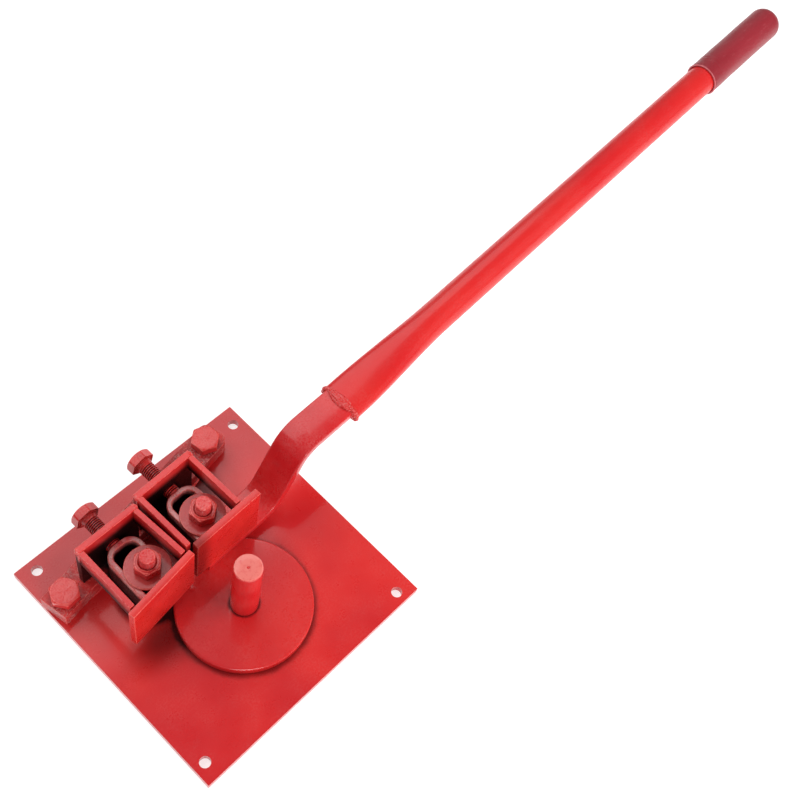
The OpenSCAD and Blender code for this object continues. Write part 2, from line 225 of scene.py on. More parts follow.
def red_enamel(name, dust=0.1, peel=0.05, rust=0.0, rough=0.3, rim=0.6, base=RED,
               bright=BRIGHT, well=None, painted_shade_at=None, marks=None, gloss=0.6, mottle=0.12,
               clouds=90):
    """Sprayed enamel. The dust amount is pale overspray that also stands in for a painted
    sheen, peel is bump depth in mm, well is a height and a depth below it over which
    painted shade takes the paint to black, and the shade function of the tree says where
    more painted shade lies."""
    material, s = start_material(name)
    cloud = grain(s, clouds * MM, 2.0)
    fine = grain(s, 1.6 * MM, 2.0, 0.6)
    nib = grain(s, 0.8 * MM, 1.0, 0.7)
    colour = cloud.ramp(0.35, 0.7).blend(base, bright)
    colour = (grain(s, 11 * MM, 3.0).ramp(0.5, 0.78) * mottle).blend(colour, DEEP)
    # Pale dust patches, which also stand in for a painted sheen.
    dusty = grain(s, 22 * MM, 3.0).ramp(0.35, 0.75) * fine.ramp(0.42, 0.62)
    colour = (dusty * dust).blend(colour, CHALK_AND_SHEEN)
    if rust:
        pit = nib.ramp(0.60, 0.70) * grain(s, 6 * MM).ramp(0.4, 0.6)
        colour = (pit * rust).blend(colour, PIT_AND_SHADE_BLACK)
    edge = s.node("ShaderNodeAttribute", {"attribute_name": "rim"}, output="Fac")
    # Rims turn pink: worn thin paint and a painted highlight.
    colour = (edge.ramp(0, 1) * fine.ramp(0.3, 0.55) * rim).blend(colour, RIM_PINK)
    # Negative rim values, in grooves, darken towards near black: painted shade.
    colour = ((0 - edge).ramp(0, 1) * 0.93).blend(colour, PIT_AND_SHADE_BLACK)
    shine = gloss
    # Painted shade: below the well depth the colour goes to near black and loses its gloss.
    if well:
        top, depth = well
        shade_below = 1 - height_above(s, top - depth, depth)
        colour = shade_below.blend(colour, PIT_AND_SHADE_BLACK)
        shine = (1 - shade_below) * gloss
    # Painted shade: where the shade function says, the colour goes to near black and loses its
    # gloss.
    if painted_shade_at:
        painted_shade_here = painted_shade_at(s)
        colour = painted_shade_here.blend(colour, PIT_AND_SHADE_BLACK)
        shine = (1 - painted_shade_here) * shine
    rough_here = grain(s, 12 * MM).ramp(0.3, 0.7) * 0.10 + dusty * 0.3 + rough
    relief = fine * 0.6 + nib * 0.4 + grain(s, 14 * MM) * 2.0
    if marks is not None:
        relief = relief + marks(s)
    bump = s.node("ShaderNodeBump", {}, {"Height": relief, "Distance": peel * MM,
                                         "Strength": 1.0}, "Normal")
    s.surface({
        "Base Color": colour, "Roughness": rough_here, "Normal": bump,
        "Coat Weight": shine, "Coat Roughness": 0.12, "Coat IOR": 1.5, "Specular IOR Level": 0.25})
    return material


print("enamel recipe ready")

# %% [markdown]
# Plates and strips keep their CAD shape, but a real cut edge is never sharp, and the
# soft line of light along it is half of what says steel. A copy of the CAD mesh is
# cleaned to flat faces and its sharp edges are bevelled. The new vertices in the middle
# of a bevel get the rim mark.
# %% Softened copies of the CAD pieces
def shown(name, mesh, material, body, nodes=()):
    """Put a finished mesh in the scene, on its body, in the place of its CAD nodes."""
    mesh.materials.append(material)
    piece = bpy.data.objects.new(name, mesh)
    bpy.context.scene.collection.objects.link(piece)
    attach(piece, body)
    if nodes:
        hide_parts(*nodes)
    print(name, "has", len(mesh.vertices), "vertices")
    return piece


def smooth_mesh(work, name):
    """Smooth shaded mesh from a bmesh, which is freed."""
    mesh = bpy.data.meshes.new(name)
    work.to_mesh(mesh)
    work.free()
    mesh.shade_smooth()
    return mesh


def softened(node, width, material, body, steps=2):
    """CAD node with its sharp edges bevelled by width in mm."""
    work = bmesh.new()
    work.from_mesh(frame["nodes"][node].data)
    bmesh.ops.remove_doubles(work, verts=work.verts, dist=0.004 * MM)
    bmesh.ops.dissolve_limit(work, angle_limit=math.radians(1), verts=work.verts,
                             edges=work.edges)
    sharp = [e for e in work.edges
             if e.is_manifold and e.calc_face_angle() > math.radians(30)]
    made = bmesh.ops.bevel(work, geom=sharp, offset=width * MM, offset_type="OFFSET",
                           segments=steps, profile=0.5, affect="EDGES",
                           clamp_overlap=True)
    mark = work.verts.layers.float.new("rim")
    rounded = set(made["faces"])
    for vertex in work.verts:
        if all(face in rounded for face in vertex.link_faces):
            vertex[mark] = 1.0
    mesh = smooth_mesh(work, node + "_finished")
    piece = shown(node + "_finished", mesh, material, body, [node])
    even = piece.modifiers.new("even_normals", "WEIGHTED_NORMAL")
    even.weight = 100
    return piece


print("softening ready")

# %% [markdown]
# Everything turned, threaded, bent or hexagonal is a skin over rings of points, from
# one end to the other. Each ring may carry a rim value. A closed loop of rings makes a
# washer or a nut, and open ends are closed with a flat face.
# %% Skins over rings
def skinned(name, rings, place, material, body, nodes=(), loop=False,
            marks=None, crease=32):
    """Mesh from equal rings of local points, moved by the matrix place."""
    count = len(rings[0])
    points = [place @ Vector(p) for ring in rings for p in ring]
    faces = []
    for i in range(len(rings) if loop else len(rings) - 1):
        a, b = i * count, (i + 1) % len(rings) * count
        faces += [(a + j, a + (j + 1) % count, b + (j + 1) % count, b + j)
                  for j in range(count)]
    if not loop:
        faces.append(tuple(reversed(range(count))))
        faces.append(tuple(range(len(points) - count, len(points))))
    mesh = bpy.data.meshes.new(name)
    mesh.from_pydata(points, [], faces)
    rim_marks = mesh.attributes.new("rim", "FLOAT", "POINT")
    marks = marks or [0.0] * len(rings)
    rim_marks.data.foreach_set("value", [v for m in marks for v in
                                    (m if isinstance(m, list) else [m] * count)])
    work = bmesh.new()
    work.from_mesh(mesh)
    bmesh.ops.recalc_face_normals(work, faces=work.faces)
    work.to_mesh(mesh)
    work.free()
    mesh.shade_smooth()
    mesh.set_sharp_from_angle(angle=math.radians(crease))
    return shown(name, mesh, material, body, nodes)


def circle(radius, z, count=72):
    """A level ring. radius is a number or a function of the angle."""
    ring = []
    for j in range(count):
        angle = math.tau * j / count
        r = radius(angle) if callable(radius) else radius
        ring.append((r * math.cos(angle), r * math.sin(angle),
                     z(angle, r) if callable(z) else z))
    return ring


print("skins ready")

# %% [markdown]
# A hexagon is a ring whose radius depends on the angle. Its turned-off corners come
# from a 30 degree cone: each point of the top rows stands at the lower of the head's
# height and the cone. A thread is a radius that falls from crest to root with height
# and angle together, so the groove climbs as a true helix.
# %% Hexagons and threads
CONE = math.tan(math.radians(30))
ROUND = 96


def hexagon(flats, corner=0.35 * MM):
    """Radius of a hexagon by angle, with its six corners a little rounded."""
    def radius(angle):
        inside = (angle + math.pi / 6) % (math.pi / 3) - math.pi / 6
        return min(flats / 2 / math.cos(inside), flats / 2 / math.cos(math.pi / 6) - corner)
    return radius


def hexagon_rows(flats, low, high, count=ROUND):
    """Rings from the foot of a hexagon's side to its chamfered top, and their marks."""
    radius = hexagon(flats)
    flat_top = flats * 0.475

    def cone(angle, r):
        return high - max(0, r - flat_top) * CONE

    rows = [circle(radius, low, count), circle(radius, low + 0.4 * MM, count),
            circle(radius, lambda a, r: cone(a, r) - 0.7 * MM, count),
            circle(radius, cone, count),
            circle(lambda a: (radius(a) + flat_top) / 2,
                   lambda a, r: cone(a, r), count),
            circle(flat_top, high, count), circle(flat_top - 0.6 * MM, high, count)]
    return rows, [0.6, 0.0, 0.0, 1.0, 0.3, 0.9, 0.0]


def thread_radius(crest, pitch, depth, z):
    """Radius by angle of a rolled thread at height z."""
    def radius(angle):
        turn = (z / pitch - angle / math.tau) % 1.0
        crestness = min(1.0, max(0.0, (abs(2 * turn - 1) - 0.18) / 0.64))
        return crest - depth * (1 - crestness * crestness * (3 - 2 * crestness))
    return radius


def thread_rows(crest, pitch, depth, low, high, count=ROUND):
    """Rings of a thread from low to high, fading out at its ends, and their marks."""
    steps = int((high - low) / pitch * 8)
    rows, marks = [], []
    for i in range(steps + 1):
        z = low + (high - low) * i / steps
        fade = min(1.0, (high - z) / pitch, 0.25 + (z - low) / pitch)
        radius = thread_radius(crest, pitch, depth * fade, z)
        rows.append(circle(radius, z, count))
        # Crests get rim marks that lighten them as wear and painted highlight; roots go negative,
        # which darkens them as painted shade.
        marks.append([0.35 - 1.3 * (crest - radius(math.tau * j / count)) / depth
                      for j in range(count)])
    return rows, marks


print("hexagons and threads ready")

# %% [markdown]
# The base plate is eight millimetre steel, sawn square and drilled in its corners. Its
# paint is even, glossy and only faintly rippled, and its holes have soft rims. The
# softened CAD plate needs nothing but paint.
# The plate carries painted shade: a dark ring round the turntable, by distance from the
# turning axis, a painted shadow by the left jaw and painted shade behind the frames.
# Under the left frame the painted shade is nearly black.
# %% Base plate
def distance_from(s, x, y, stretch=(1, 1, 0)):
    """Distance along the plate from an upright axis at x, y."""
    place = s.node("ShaderNodeTexCoord", output="Object")
    away = s.node("ShaderNodeVectorMath", {"operation": "SUBTRACT"}, {0: place, 1: (x, y, 0)})
    flat = s.node("ShaderNodeVectorMath", {"operation": "MULTIPLY"}, {0: away, 1: stretch})
    return s.node("ShaderNodeVectorMath", {"operation": "LENGTH"}, {0: flat}, "Value")


disc_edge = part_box("turntable")[1].x
# Centres of painted shadow and shade: by the left jaw, behind the frames, on the bar.
JAW_SHADOW_AT = (-0.072, 0.024)
REAR_SHADE_AT = (0.046, 0.112)
BAR_SHADE_AT = (0.040, 0.128)


def painted_plate_shade(s):
    """Where shade is painted on the plate."""
    # A dark ring round the turntable: painted shade.
    away = distance_from(s, 0, 0) + grain(s, 16 * MM) * 0.006 - 0.003
    ring = 1 - away.ramp(disc_edge + 0.2 * MM, disc_edge + 6.5 * MM)
    # Painted shadow by the left jaw, then painted shade behind the frames.
    jaw_shadow = 1 - distance_from(s, *JAW_SHADOW_AT, (0.8, 1.2, 0)).ramp(2 * MM, 40 * MM)
    rear = 1 - distance_from(s, *REAR_SHADE_AT, (1.1, 1, 0)).ramp(10 * MM, 30 * MM)
    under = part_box("left_washer")
    frame_x, frame_y = (under[0].x + under[1].x) / 2, (under[0].y + under[1].y) / 2
    # Near black painted shade under the left frame.
    shade_below = 1 - distance_from(s, frame_x, frame_y).ramp(24 * MM, 34 * MM)
    return (ring * 0.62 + jaw_shadow * 0.72 + rear * 0.8 + shade_below).lesser(0.95)


plate_paint = red_enamel("plate_enamel", dust=0.05, peel=0.03, rough=0.26, rim=0.35,
                         painted_shade_at=painted_plate_shade, mottle=0.06, gloss=0.6)
softened("base_plate", 0.7, plate_paint, "base")

# %% [markdown]
# The backing bar is hot rolled and left as it came, so its paint is rough, with pale nibs
# and small pits. Its chalky pale is dust and a painted sheen, and by the right frame a
# patch of painted shade darkens it. It stands on the plate, held by two big bolts and by
# a weld along each long edge.
# %% Backing bar
# Its pale dust also stands in for a painted sheen, and near the right frame a patch of painted
# shade darkens it.
bar_paint = red_enamel("bar_enamel", dust=0.7, peel=0.35, rust=0.35, rough=0.45, rim=0.9,
                       base=(0.42, 0.022, 0.024, 1), gloss=0.25, clouds=18,
                       painted_shade_at=lambda s: (1 - distance_from(s, *BAR_SHADE_AT).ramp(
                           6 * MM, 30 * MM)) * 0.7)
softened("backing_bar", 1.4, bar_paint, "base", 3)

# %% [markdown]
# A bolt head is forged: a hexagon with turned-off corners on a thin round collar, and
# scale under the paint on top of it. The rows run up the shank, out under the head, up
# its side and in over its top. The top is pushed up and down by noise, so its nibs are
# real shape.
# %% Backing bar bolts
def nibs(low, high, radius, count, lift):
    """Rings across a painted end face, with small raised grains."""
    rows = []
    for i in range(1, 9):
        r = radius * (1 - i / 8.5)
        rows.append([(x, y, high + lift * max(0, noise.noise(Vector((x, y, low)) * 900) - .1))
                     for x, y, _ in circle(r, 0, count)])
    return rows


bolt_paint = red_enamel("bolt_enamel", dust=0.16, peel=0.10, rough=0.28, rim=0.7,
                        base=(0.64, 0.016, 0.018, 1), bright=(0.76, 0.03, 0.03, 1))
BOLT_RADIUS, COLLAR_RADIUS, COLLAR_HIGH = 8 * MM, 11.4 * MM, 0.8 * MM
flats = 24 * MM
for side, turned in (("left", 34), ("right", 8)):
    node = "bar_bolt_" + side
    lo, hi = box_in(node, SQUARE)
    centre = middle_of(node)
    foot = box_in("left_deck", SQUARE)[0].z
    rows, rim_marks = hexagon_rows(flats, foot + COLLAR_HIGH, hi.z - 0.3 * MM)
    shank = [circle(BOLT_RADIUS - MM, lo.z, ROUND), circle(BOLT_RADIUS, lo.z + MM, ROUND),
             circle(BOLT_RADIUS, foot, ROUND), circle(COLLAR_RADIUS, foot, ROUND),
             circle(COLLAR_RADIUS, foot + COLLAR_HIGH, ROUND)]
    top = nibs(side == "left", hi.z - 0.3 * MM, flats * 0.45, ROUND, 0.6 * MM)
    place = (Matrix.Translation((centre.x, centre.y, 0))
             @ Matrix.Rotation(math.radians(turned), 4, "Z"))
    skinned(node + "_finished", shank + rows + top, place, bolt_paint, "base",
            [node], marks=[0] * 5 + rim_marks + [0.35] * len(top))

# %% [markdown]
# The former pin is turned from round bar and pressed in. Its end face was faced off on
# the lathe and took a thin coat, so it is paler than its side and still shows fine
# rings. Those rings are a wave by distance from the pin's axis, in the bump.
# %% Former pin
def facing_rings(s):
    place = s.node("ShaderNodeTexCoord", output="Object")
    return s.node("ShaderNodeTexWave", {"wave_type": "RINGS", "rings_direction": "Z"},
                  {"Vector": place, "Scale": 160.0, "Distortion": 1.2}) * 0.5


def end_coat(name, top, **others):
    """Enamel that turns pale on the end face at the given height."""
    material = red_enamel(name, **others)
    s = Shade(material.node_tree)
    shader = [n for n in s.tree.nodes if n.type == "BSDF_PRINCIPLED"][0]
    before = Shade(s.tree, shader.inputs["Base Color"].links[0].from_socket)
    face = height_above(s, top - 0.5 * MM, 0.3 * MM) * grain(s, 3.5 * MM, 2.0).ramp(0.0, 0.55)
    paler = (face * 0.7).blend(before, (0.82, 0.24, 0.20, 1))
    s.tree.links.new(paler.socket, shader.inputs["Base Color"])
    return material


lo, hi = box_in("former_pin", SQUARE)
pin_r, spigot_r = hi.x, 11.5 * MM
shoulder = box_in("turntable", SQUARE)[1].z + 0.2 * MM
profile = [(spigot_r, lo.z), (spigot_r, shoulder), (pin_r, shoulder),
           (pin_r, shoulder + MM), (pin_r, hi.z - 1.6 * MM), (pin_r - 0.25 * MM, hi.z - 0.9 * MM),
           (pin_r - 0.8 * MM, hi.z - 0.25 * MM), (pin_r - 1.6 * MM, hi.z),
           (pin_r * 0.5, hi.z), (1.6 * MM, hi.z), (0.8 * MM, hi.z - 0.7 * MM)]
pin_paint = end_coat("pin_enamel", hi.z, dust=0.12, peel=0.03, rough=0.26, rim=0.8,
                     marks=facing_rings)
skinned("former_pin_finished", [circle(r, z, ROUND) for r, z in profile], SQUARE, pin_paint,
        "base", ["former_pin"],
        marks=[0, 0, 0, 0, 0, 0.5, 1, 0.4, 0, 0, 0.3])

# %% [markdown]
# The turntable is a turned disc with a rounded upper rim, riding on a steel washer in a
# film of old grease. The washer keeps a dark gap under the disc. The CAD disc already
# has the round rim, so only its lower corner is softened.
# %% Turntable and its washer
# Painted shade: a dark ring on the disc round the pin's foot.
def pin_foot(s):
    away = distance_from(s, 0, 0) + grain(s, 9 * MM) * 0.003 - 0.0015
    return (1 - away.ramp(pin_r + 0.2 * MM, pin_r + 3.0 * MM)) * 0.8


disc_paint = red_enamel("turntable_enamel", dust=0.05, peel=0.03, rough=0.25, rim=0.3,
                        painted_shade_at=pin_foot, mottle=0.06, gloss=0.9)
softened("turntable", 0.5, disc_paint, "lever")


def greased_steel(name):
    material, s = start_material(name)
    film = grain(s, 5 * MM, 3.0).ramp(0.35, 0.65)
    colour = film.blend((0.045, 0.035, 0.032, 1), (0.012, 0.010, 0.010, 1))
    bump = s.node("ShaderNodeBump", {}, {"Height": grain(s, 0.7 * MM), "Distance": 0.04 * MM},
                  "Normal")
    s.surface({
        "Base Color": colour, "Roughness": film * 0.3 + 0.35, "Metallic": film * 0.4 + 0.2,
        "Normal": bump})
    return material


softened("thrust_washer", 0.2, greased_steel("greased_steel"), "base")

# %% [markdown]
# Each jaw stands in front of an open frame: a deck below, a back plate that the
# adjusting screw is threaded through, and two thin strips along the top edges. The wells
# below are painted nearly black as shade. The same enamel gets a well depth, below which
# painted shade darkens it. The depth is by height alone, so the outer faces darken with
# the inner ones. Decks and the left support are painted near black all over, as shade.
# %% Jaw frames
for side, body, turned in SIDES:
    top = box_in(side + "_back_plate", turned)[1].z
    frame_paint = red_enamel(side + "_frame_enamel", dust=0.12, peel=0.08, rough=0.28,
                             rim=0.75, well=(top - 3 * MM, 15 * MM))
    # Decks and the left support: near black all over, painted shade.
    shade_black_paint = red_enamel(side + "_well_shade", dust=0.0, peel=0.2, rough=0.7, rim=0.05,
                            base=PIT_AND_SHADE_BLACK, bright=(0.012, 0.0015, 0.002, 1),
                            gloss=0.0, mottle=0.5)
    softened(side + "_back_plate", 0.8, frame_paint, body)
    softened(side + "_outer_strip", 0.8, frame_paint, body)
    softened(side + "_inner_strip", 0.8, frame_paint, body)
    softened(side + "_deck", 0.6, shade_black_paint, body)
    if side == "left":
        softened("left_support", 0.8, shade_black_paint, body)

# %% [markdown]
# The jaws are flat bars on edge, sprayed thickly and evenly on their faces, with a thin
# bright line along the top: worn paint and a painted highlight. The straps welded behind
# them are bent from narrower bar. Their tops caught dry overspray and look pale and
# speckled, with a painted sheen, and painted shade darkens them below. The right jaw's
# inner end is darkened by a painted reflection.
# %% Jaws and straps
for side, _, turned in SIDES:
    inner = turned @ box_in(side + "_jaw", turned)[0]

    def painted_dark_end(s, at=inner):
        """Painted dark reflection at the inner end of the jaw."""
        return (1 - distance_from(s, at.x, at.y).ramp(4 * MM, 20 * MM)) * 0.6

    jaw_paint = red_enamel(side + "_jaw_enamel", dust=0.04, peel=0.04, rough=0.24, rim=1.0,
                           base=(0.60, 0.016, 0.014, 1), bright=(0.70, 0.022, 0.016, 1),
                           mottle=0.04, clouds=40, painted_shade_at=painted_dark_end if side == "right" else None)
    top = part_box(side + "_strap")[1].z
    # The straps' pale dust and pale pink tone also stand in for a painted sheen, and below their
    # tops painted shade darkens them.
    strap_paint = red_enamel(side + "_strap_enamel", dust=1.0, peel=0.3, rust=0.7, rough=0.28,
                             rim=1.0, base=(0.85, 0.09, 0.10, 1), bright=(1.0, 0.50, 0.47, 1),
                             gloss=0.7, well=(top - 2.2 * MM, 8 * MM), clouds=13)
    softened(side + "_jaw", 0.7, jaw_paint, side + "_slider")
    softened(side + "_strap", 1.2, strap_paint, side + "_slider", 3)

# %% [markdown]
# The adjusting screws are M14 with a coarse thread all the way, and their heads have a
# turned collar. The rows start at the tip, climb the thread and go on over the head.
# Crests carry a little rim wear and a painted highlight, and the roots are darkened with painted
# shade.
# %% Adjusting screws
PITCH, THREAD_DEPTH = 2 * MM, 1.25 * MM
screw_paint = red_enamel("screw_enamel", dust=0.18, peel=0.10, rough=0.28, rim=0.6,
                         base=(0.45, 0.006, 0.010, 1), mottle=0.4)
SCREW_RADIUS, HEAD_THICK, SCREW_FLATS = 7 * MM, 9 * MM, 22 * MM
SCREW_COLLAR = 9.8 * MM
for side, _, turned in SIDES:
    node = side + "_screw"
    lo, hi = box_in(node, turned)
    axis = (lo + hi) / 2
    under = hi.y - lo.y - HEAD_THICK
    rows, rim_marks = thread_rows(SCREW_RADIUS, PITCH, THREAD_DEPTH, MM, under - 2.6 * MM)
    head, head_rim_marks = hexagon_rows(SCREW_FLATS, under + 0.6 * MM, under + HEAD_THICK)
    collar = [circle(SCREW_RADIUS, under - 2.4 * MM, ROUND),
              circle(8.2 * MM, under - 0.4 * MM, ROUND),
              circle(SCREW_COLLAR, under, ROUND), circle(SCREW_COLLAR, under + 0.6 * MM, ROUND)]
    top = [circle(SCREW_FLATS * k, under + HEAD_THICK, ROUND) for k in (0.3, 0.1)]
    place = (turned @ Matrix.Translation((axis.x, lo.y, axis.z))
             @ Matrix.Rotation(-math.pi / 2, 4, "X") @ Matrix.Rotation(math.radians(12), 4, "Z"))
    skinned(node + "_finished", [circle(6 * MM, 0, ROUND)] + rows + collar + head + top, place,
            screw_paint, side + "_adjuster", [node],
            marks=[0] + rim_marks + [0, 0.3, 0.4, 0.2] + head_rim_marks + [0.1, 0.1])

# %% [markdown]
# Each clamp is a stud welded into the deck, a thick washer and a nut. The stud's thread
# is half full of paint and its end is nibbed and pale. Nut and washer are closed loops
# of rings, out of the bore, over the top and down the outside.
# %% Studs, washers and nuts
NUT_FLATS = 22 * MM
stud_paint = red_enamel("stud_enamel", dust=0.30, peel=0.22, rough=0.26, rim=0.5,
                        bright=(0.82, 0.05, 0.045, 1), mottle=0.5)
washer_paint = red_enamel("washer_enamel", dust=0.30, peel=0.10, rust=0.12, rough=0.30,
                          rim=1.0, base=(0.60, 0.04, 0.042, 1), bright=(0.68, 0.085, 0.08, 1),
                          clouds=25)
nut_paint = red_enamel("nut_enamel", dust=0.12, peel=0.08, rough=0.24, rim=0.9,
                       base=(0.50, 0.008, 0.012, 1))
for side, body, turned in SIDES:
    lo, hi = box_in(side + "_stud", turned)
    axis = Matrix.Translation((turned @ middle_of(side + "_stud", turned)).to_2d().to_3d())
    seat = box_in(side + "_washer", turned)[1].z
    # The stud's thread roots are darkened with painted shade, as on the screws.
    rows, rim_marks = thread_rows(SCREW_RADIUS, PITCH, 0.85 * MM, seat + MM, hi.z - 1.4 * MM)
    tip = [circle(SCREW_RADIUS * 0.96, hi.z - 0.9 * MM, ROUND),
           circle(SCREW_RADIUS * 0.88, hi.z - 0.5 * MM, ROUND)]
    tip += nibs(3 + (side == "left"), hi.z - 0.5 * MM, SCREW_RADIUS * 0.88, ROUND, 0.8 * MM)
    skinned(side + "_stud_finished",
            [circle(SCREW_RADIUS, z, ROUND) for z in (lo.z, seat + 0.5 * MM)] + rows + tip,
            axis, stud_paint, body, [side + "_stud"],
            marks=[0, 0] + rim_marks + [0.6, 0.6] + [0.3] * (len(tip) - 2))

    lo, hi = box_in(side + "_washer", turned)
    outer, bore, soft = (hi.x - lo.x) / 2, 7.5 * MM, 0.6 * MM
    corner = [(outer, hi.z - soft), (outer - soft * 0.3, hi.z - soft * 0.3),
              (outer - soft, hi.z), (outer - 2 * soft, hi.z), (bore + soft, hi.z),
              (bore, hi.z - soft), (bore, lo.z), (outer - soft, lo.z), (outer, lo.z + soft)]
    skinned(side + "_washer_finished", [circle(r, z, ROUND) for r, z in corner], axis,
            washer_paint, body, [side + "_washer"], loop=True,
            marks=[0.4, 1, 0.7, 0, 0, 0, 0, 0, 0])

    lo, hi = box_in(side + "_nut", turned)
    rows, rim_marks = hexagon_rows(NUT_FLATS, lo.z + 1.2 * MM, hi.z)
    bore = [(8.4 * MM, hi.z), (7.25 * MM, hi.z - 1.1 * MM), (7.25 * MM, lo.z + 0.5 * MM),
            (8.4 * MM, lo.z), (10 * MM, lo.z)]
    turn = Matrix.Rotation(math.radians(17 if side == "left" else 6), 4, "Z")
    skinned(side + "_nut_finished", rows + [circle(r, z, ROUND) for r, z in bore], axis @ turn,
            nut_paint, side + "_clamp", [side + "_nut"], loop=True,
            marks=rim_marks + [0.7, 0, 0, 0, 0])

# %% [markdown]
# The lever starts as flat bar, bent twice to step over the jaw frame. Bending swells the
# inside of the bend and thins the outside a little. A rounded rectangle is carried along
# the line of the bend, and the same few numbers as in the CAD give that line: two arcs
# joined by straights.
# %% Lever bar
lo, hi = box_in("lever_flat", LEVER)
flat_wide, flat_thick = hi.y - lo.y, 9 * MM
bend_x, bend_r, slope, rise = 65 * MM, 25 * MM, math.radians(63), hi.z - lo.z - flat_thick
bend_long = (rise - 2 * bend_r * (1 - math.cos(slope))) / math.sin(slope)
low_z = lo.z + flat_thick / 2


def bar_line():
    """Points and slopes along the middle of the bar, from its left end to the tube."""
    line = [(lo.x + (bend_x - lo.x) * i / 12, low_z, 0) for i in range(12)]
    for i in range(25):
        a = slope * i / 24
        line.append((bend_x + bend_r * math.sin(a), low_z + bend_r * (1 - math.cos(a)), a))
    x, z, _ = line[-1]
    for i in range(1, 6):
        run = bend_long * i / 5
        line.append((x + run * math.cos(slope), z + run * math.sin(slope), slope))
    x, z, _ = line[-1]
    for i in range(1, 25):
        a = slope * (1 - i / 24)
        line.append((x + bend_r * (math.sin(slope) - math.sin(a)),
                     z + bend_r * (math.cos(a) - math.cos(slope)), a))
    x, z, _ = line[-1]
    return line + [(x + (hi.x - x) * i / 10, z, 0) for i in range(1, 11)]


def rounded_bar(half_wide, half_thick, corner, steps=5):
    """Section of a bar: (across, up) points of a rectangle with round corners."""
    ring = []
    for cx, cy, first in ((1, 1, 0), (-1, 1, 1), (-1, -1, 2), (1, -1, 3)):
        for i in range(steps):
            a = math.pi / 2 * (first + i / (steps - 1))
            ring.append((cx * (half_wide - corner) + corner * math.cos(a),
                         cy * (half_thick - corner) + corner * math.sin(a)))
    return ring


section = rounded_bar(flat_wide / 2, flat_thick / 2, 1.5 * MM)
mid_y = (lo.y + hi.y) / 2
rings = []
for x, z, a in bar_line():
    swell = 1 + 0.02 * math.sin(math.pi * min(1, max(0, a / slope))) ** 2
    rings.append([(x - v * math.sin(a), mid_y + u * min(1, swell), z + v * math.cos(a))
                  for u, v in section])
lever_paint = red_enamel("lever_enamel", dust=0.10, peel=0.12, rough=0.25, rim=0.6,
                         bright=(0.70, 0.02, 0.02, 1))
skinned("lever_flat_finished", rings, LEVER, lever_paint, "lever",
        ["lever_flat"], crease=50)

# %% [markdown]
# The handle is round tube, its mouth pressed oval so that it slips over the bar and is
# welded there. Pressing keeps the girth, so the oval is wider than the tube as it gets
# flatter, and a soft crease fades along each side. Rings from the mouth to the far end
# carry that change, and a short inner wall gives the mouth its thickness.
# %% Handle tube
tube_r = 31.3 / 2 * MM
TUBE_SLOPE = math.radians(3.46)
weld_x = 172 * MM
axis_y = mid_y - 0.4 * MM
axis_z = hi.z - flat_thick / 2 + 2.4 * MM
TUBE_LONG, TUBE_WALL = 677 * MM, 2.75 * MM
TUBE = (LEVER @ Matrix.Translation((weld_x, axis_y, axis_z))
        @ Matrix.Rotation(math.pi / 2 - TUBE_SLOPE, 4, "Y"))


def pressed(s):
    """Half height, half width, squareness and drop of the tube at s from its mouth."""
    t = min(1.0, max(0.0, (s / MM - 10) / 118))
    much = 1 - t * t * (3 - 2 * t)
    return (tube_r * (1 - 0.48 * much), tube_r * (1 + 0.31 * much), 2 + 0.8 * much,
            4.0 * MM * much)


def tube_ring(s, shrink=0.0, count=80):
    """A ring of the tube at s. Local x points down, y across the lever."""
    high, wide, power, drop = pressed(s)
    ring = []
    for j in range(count):
        a = math.tau * j / count
        c, d = math.cos(a), math.sin(a)
        ring.append((drop + (high - shrink) * math.copysign(abs(c) ** (2 / power), c),
                     (wide - shrink) * math.copysign(abs(d) ** (2 / power), d), s))
    return ring


stops = [s * MM for s in (30, 12, 3, 0.6)]
rings = [tube_ring(s, TUBE_WALL) for s in stops] + [tube_ring(0, TUBE_WALL * 0.7)]
rings += [tube_ring(0, 0.5 * MM), tube_ring(0.5 * MM, 0)]
rings += [tube_ring(s * MM) for s in list(range(4, 140, 4)) + list(range(150, 680, 40))]
rings.append(tube_ring(TUBE_LONG))
tube_paint = red_enamel("tube_enamel", dust=0.04, peel=0.05, rough=0.30, rim=0.6,
                        base=(0.64, 0.012, 0.014, 1), gloss=0.35, mottle=0.06)
skinned("handle_tube_finished", rings, TUBE, tube_paint, "lever",
        ["handle_tube"], marks=[0] * 5 + [0.8, 0.5] + [0] * (len(rings) - 7), crease=60)

# %% [markdown]
# The grip is a dipped vinyl sleeve. It is duller and bluer than the enamel, a little
# lumpy, round at its closed end, and it has a rolled lip with a few fine creases by its
# mouth. The creases are partial rings, so they are shape in the rows, and the long
# lumps are slow noise.
# %% Grip
def vinyl(name):
    material, s = start_material(name)
    cloud = grain(s, 40 * MM, 3.0, stretch=(0.35, 1, 1))
    colour = cloud.ramp(0.3, 0.7).blend((0.26, 0.005, 0.014, 1), (0.32, 0.012, 0.024, 1))
    scuff = grain(s, 3 * MM, 4.0, 0.7, stretch=(0.3, 1, 1)).ramp(0.58, 0.75)
    colour = (scuff * 0.35).blend(colour, (0.62, 0.16, 0.18, 1))
    edge = s.node("ShaderNodeAttribute", {"attribute_name": "rim"}, output="Fac")
    # The lip and creases, marked by rim, turn lighter: wear and a painted highlight.
    colour = (edge * 0.7).blend(colour, (0.78, 0.22, 0.24, 1))
    relief = grain(s, 0.9 * MM, 2.0) + grain(s, 9 * MM, 2.0, stretch=(0.3, 1, 1)) * 3.0
    bump = s.node("ShaderNodeBump", {}, {"Height": relief, "Distance": 0.12 * MM}, "Normal")
    s.surface({
        "Base Color": colour, "Roughness": scuff * 0.2 + 0.42, "Normal": bump,
        "Specular IOR Level": 0.55, "Sheen Weight": 0.12, "Sheen Roughness": 0.5})
    return material


